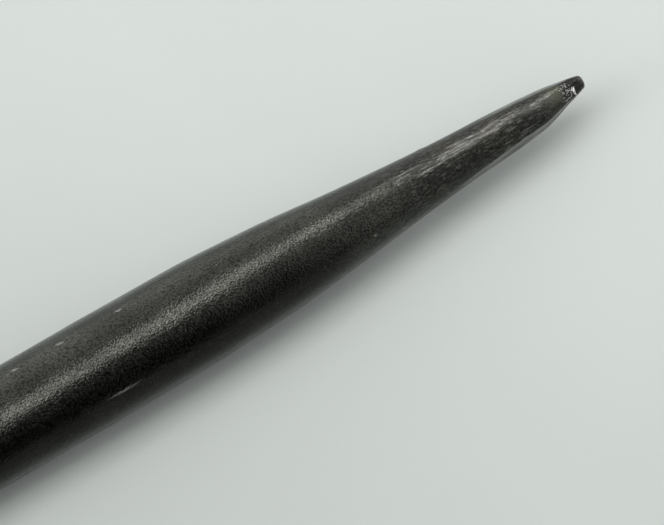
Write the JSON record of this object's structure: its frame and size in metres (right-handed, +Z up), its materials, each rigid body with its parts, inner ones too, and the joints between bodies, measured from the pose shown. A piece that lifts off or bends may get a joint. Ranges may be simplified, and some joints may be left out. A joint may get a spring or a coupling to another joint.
{
  "type": "pry bar",
  "caption": "Round steel lining-up pry bar: a long tapered blunt point for aligning holes, and a curved rolling head with a flared chisel edge for prying.",
  "frame": {"origin": "on the surface the bar lies on, under the middle of its bounding box", "axes": "+X along the shank towards the blunt point, +Z up from the surface, the head's hollow side towards -Y"},
  "size_m": [0.457, 0.0464, 0.0313],
  "materials": {
    "forged_steel": "satin, dark forged and oiled, with grinding marks along the taper and a bright ground bevel"
  },
  "bodies": {
    "root": {"forged_bar": "forged_steel"}
  },
  "joints": []
}
